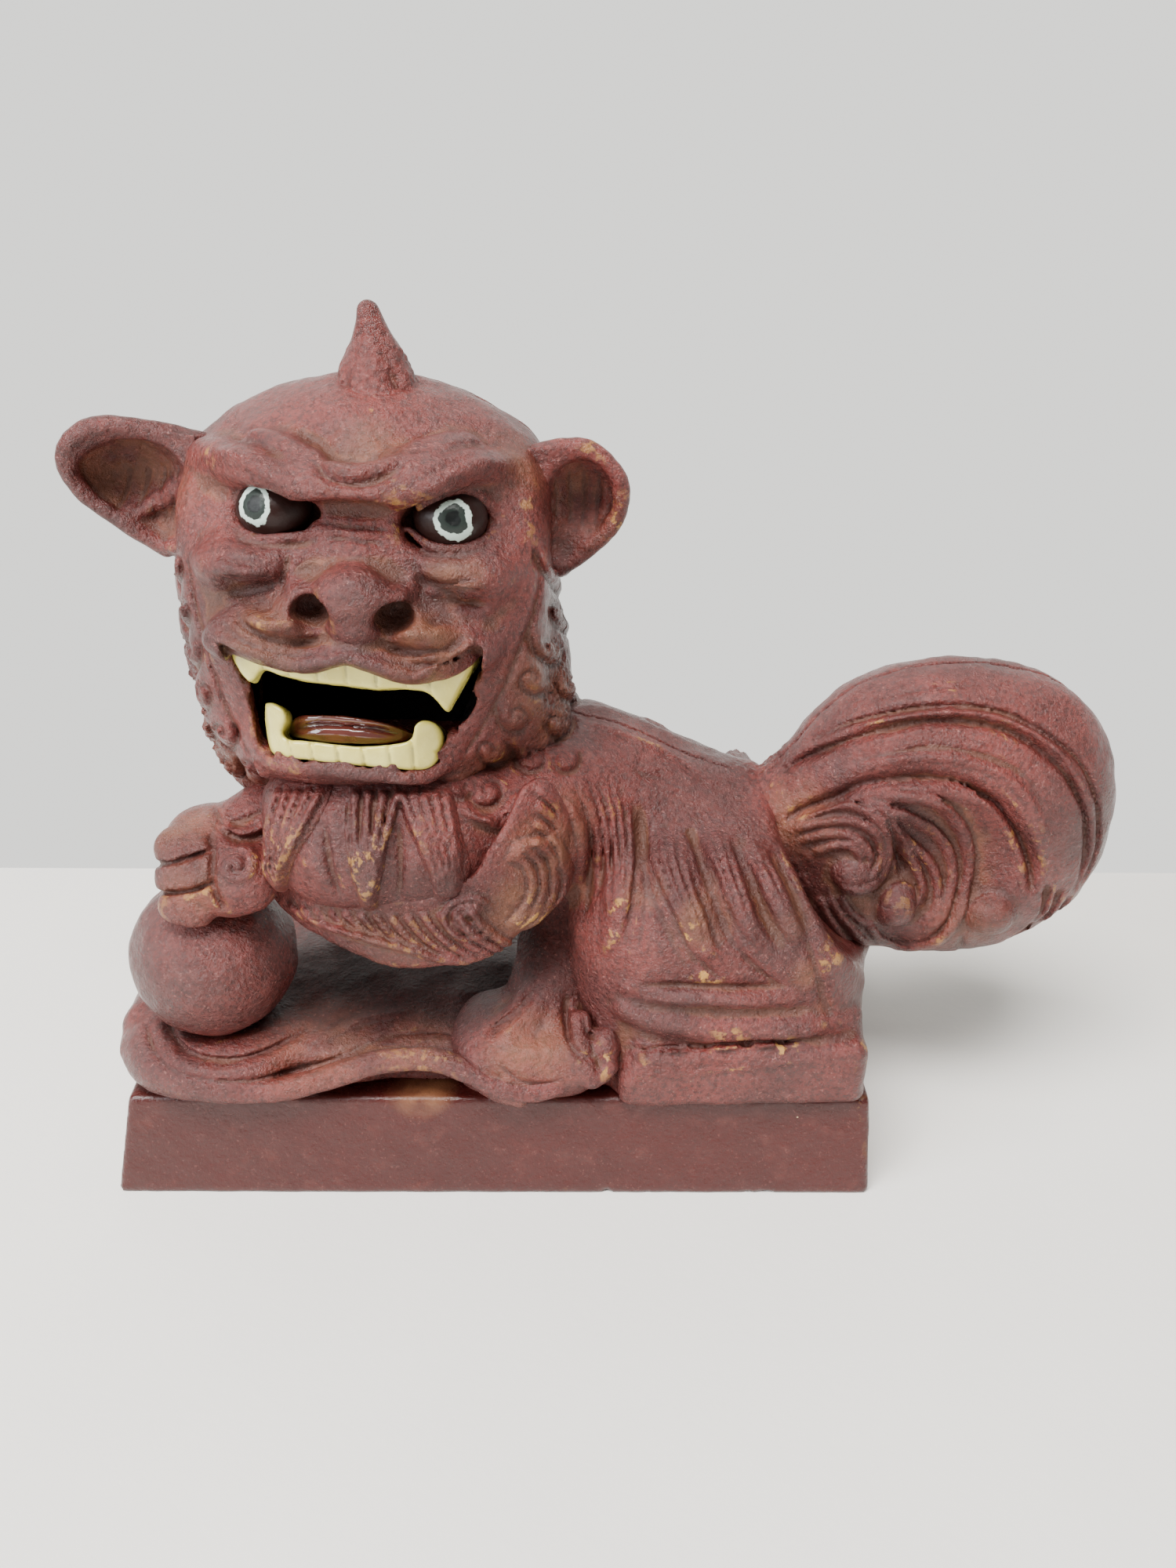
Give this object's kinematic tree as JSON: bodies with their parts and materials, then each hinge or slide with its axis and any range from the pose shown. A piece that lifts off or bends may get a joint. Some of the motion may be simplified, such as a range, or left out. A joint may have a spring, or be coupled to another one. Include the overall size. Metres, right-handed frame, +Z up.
{
  "type": "foo dog statue",
  "caption": "Reclining guardian lion with open mouth, horn, cupped ears and round plume tail, one paw on a ball, on a tapered plinth.",
  "frame": {"origin": "middle of the plinth's underside, where the statue rests", "axes": "+X to the right along the plinth's front, towards the tail; +Y to the back; +Z up; the face looks along -Y"},
  "size_m": [0.2064, 0.0805, 0.1726],
  "materials": {
    "figure_paint": "satin oxblood paint over a sandy casting, dusty in the hollows, gold rubbed through on the ridges",
    "plinth_paint": "smoother satin oxblood paint with small chips",
    "tooth_paint": "gloss cream enamel",
    "eye_enamel": "pale ring round a dark grey-green pupil, satin",
    "tongue_paint": "gloss dark red-brown",
    "plain_steel": "plain, hidden inside"
  },
  "bodies": {
    "root": {"plinth": "plinth_paint", "body_front_shell": "figure_paint", "body_rear_shell": "figure_paint", "head_front_shell": "figure_paint", "head_rear_shell": "figure_paint", "horn": "figure_paint", "left_ear": "figure_paint", "right_ear": "figure_paint", "mane_bib": "figure_paint", "beard_tufts": "figure_paint", "ball_leg": "figure_paint", "planted_leg": "figure_paint", "tail_front_half": "figure_paint", "tail_rear_half": "figure_paint", "rock_apron": "figure_paint", "ball": "figure_paint", "upper_teeth": "tooth_paint", "lower_teeth": "tooth_paint", "left_eyeball": "eye_enamel", "right_eyeball": "eye_enamel", "tongue": "tongue_paint", "plinth_screws": "plain_steel", "ball_dowel": "plain_steel", "body_tie_screws": "plain_steel", "neck_sleeve": "plain_steel", "head_tie_screw": "plain_steel", "horn_dowel": "plain_steel", "ear_dowels": "plain_steel", "tail_tie_screw": "plain_steel", "tail_stud": "plain_steel", "tail_nuts": "plain_steel"}
  },
  "joints": []
}
